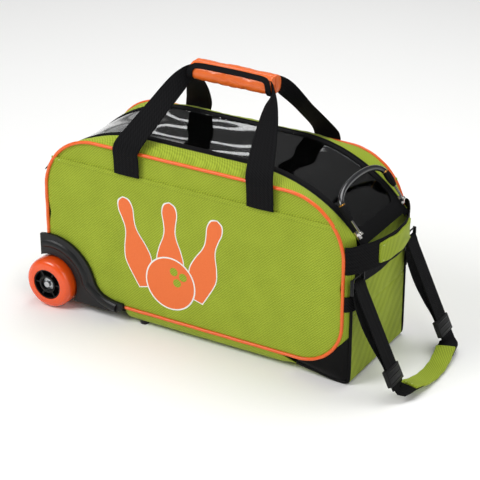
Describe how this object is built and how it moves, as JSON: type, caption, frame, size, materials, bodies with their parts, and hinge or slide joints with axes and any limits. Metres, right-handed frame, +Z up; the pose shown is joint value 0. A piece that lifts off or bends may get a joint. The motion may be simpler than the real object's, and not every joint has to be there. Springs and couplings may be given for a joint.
{
  "type": "bowling ball bag",
  "caption": "Wheeled tote bag for bowling balls in a row, with a zipped clear lid, folding carry handles, a fixed grab handle and an adjustable pull strap.",
  "frame": {"origin": "on the floor, under the middle of the object's box", "axes": "+X from the wheels to the pull strap, +Z up, the front panel faces -Y"},
  "size_m": [0.827, 0.295, 0.52],
  "materials": {
    "lime_fabric": "coarse woven polyester",
    "black_lining": "plain lining cloth over foam",
    "orange_piping": "satin vinyl piping",
    "black_webbing": "ribbed polypropylene webbing",
    "black_binding": "grosgrain binding tape",
    "black_vinyl": "smooth black vinyl",
    "clear_vinyl": "glossy clear vinyl sheet",
    "smoke_vinyl": "clear tube over a dark core",
    "black_plastic": "fine moulded texture",
    "orange_urethane": "cast polyurethane",
    "orange_vinyl": "soft coated vinyl",
    "steel": "zinc plated",
    "nickel": "nickel plated",
    "foam": "closed-cell foam with a cloth face",
    "grey_lining": "padded lining cloth"
  },
  "bodies": {
    "bag": {"front_panel": "black_lining", "back_panel": "black_lining", "front_pocket_panel": "lime_fabric", "back_pocket_panel": "lime_fabric", "top_gusset_front": "lime_fabric", "top_gusset_back": "lime_fabric", "left_end_panel": "lime_fabric", "right_end_panel": "lime_fabric", "bottom_panel": "lime_fabric", "base_board": "black_plastic", "front_piping": "orange_piping", "back_piping": "orange_piping", "zipper_tape_front": "black_binding", "zipper_tape_back": "black_binding", "zipper_end_tape": "black_binding", "wheel_housing_front": "black_plastic", "wheel_housing_back": "black_plastic", "kick_plate": "black_plastic", "axle_front": "steel", "axle_back": "steel", "axle_nuts": "steel", "axle_spacers": "steel", "housing_rivets": "steel", "feet": "black_plastic", "corner_guard_front": "black_vinyl", "corner_guard_back": "black_vinyl", "end_binding": "black_binding", "end_handle_webbing": "black_webbing", "end_handle_sleeve": "lime_fabric", "cross_strap": "black_webbing", "lower_anchors": "black_webbing", "strap_ring_front": "black_plastic", "strap_ring_back": "black_plastic", "handle_anchor_front": "black_webbing", "handle_anchor_back": "black_webbing", "ball_cradles": "foam", "divider_left": "grey_lining", "divider_right": "grey_lining"},
    "wheel_front": {"tyre_front": "orange_urethane", "hub_front": "black_plastic", "bearings_front": "steel"},
    "wheel_back": {"tyre_back": "orange_urethane", "hub_back": "black_plastic", "bearings_back": "steel"},
    "handle_front": {"handle_webbing_front": "black_webbing", "grip_front": "orange_vinyl"},
    "handle_back": {"handle_webbing_back": "black_webbing", "grip_back": "orange_vinyl"},
    "lid": {"window_lid": "clear_vinyl", "lid_binding": "black_binding"},
    "zip": {"zip_sliders": "nickel"},
    "pull": {"pull_tube": "smoke_vinyl", "pull_tabs": "nickel", "pull_boots": "black_binding"},
    "strap": {"strap_webbing": "black_webbing", "strap_grip": "lime_fabric"},
    "adjuster_front": {"adjuster_front": "black_plastic"},
    "adjuster_back": {"adjuster_back": "black_plastic"}
  },
  "joints": [
    {"name": "wheel_spin_front", "type": "hinge", "parent": "bag", "child": "wheel_front", "pos_m": [-0.3625, 0, 0.051], "axis": [0, 1, 0], "continuous": true},
    {"name": "wheel_spin_back", "type": "hinge", "parent": "bag", "child": "wheel_back", "pos_m": [-0.3625, 0, 0.051], "axis": [0, 1, 0], "continuous": true},
    {"name": "handle_fold_front", "type": "hinge", "parent": "bag", "child": "handle_front", "pos_m": [-0.0515, -0.1282, 0.368], "axis": [1, 0, 0], "range_deg": [0, 200]},
    {"name": "handle_fold_back", "type": "hinge", "parent": "bag", "child": "handle_back", "pos_m": [-0.0515, 0.1282, 0.368], "axis": [-1, 0, 0], "range_deg": [0, 200]},
    {"name": "lid_open", "type": "hinge", "parent": "bag", "child": "lid", "pos_m": [-0.3785, 0, 0.272], "axis": [0, -1, 0], "range_deg": [0, 76]},
    {"name": "zip_slide", "type": "hinge", "parent": "lid", "child": "zip", "pos_m": [0.0685, 0, 0.099], "axis": [0, -1, 0], "range_deg": [0, 25]},
    {"name": "pull_swing", "type": "hinge", "parent": "zip", "child": "pull", "pos_m": [0.28231, 0, 0.29492], "axis": [0, 1, 0], "range_deg": [0, 100]},
    {"name": "strap_swing", "type": "hinge", "parent": "bag", "child": "strap", "pos_m": [0.2895, 0, 0.208], "axis": [0, -1, 0], "range_deg": [0, 75]},
    {"name": "adjuster_slide_front", "type": "slide", "parent": "strap", "child": "adjuster_front", "axis": [-0.4226, 0, 0.9063], "range_m": [0, 0.06]},
    {"name": "adjuster_slide_back", "type": "slide", "parent": "strap", "child": "adjuster_back", "axis": [-0.4226, 0, 0.9063], "range_m": [0, 0.06]}
  ],
  "couplings": [
    {"joint": "handle_fold_back", "follows": "handle_fold_front", "ratio": 1},
    {"joint": "lid_open", "follows": "handle_fold_front", "ratio": 0.375}
  ]
}
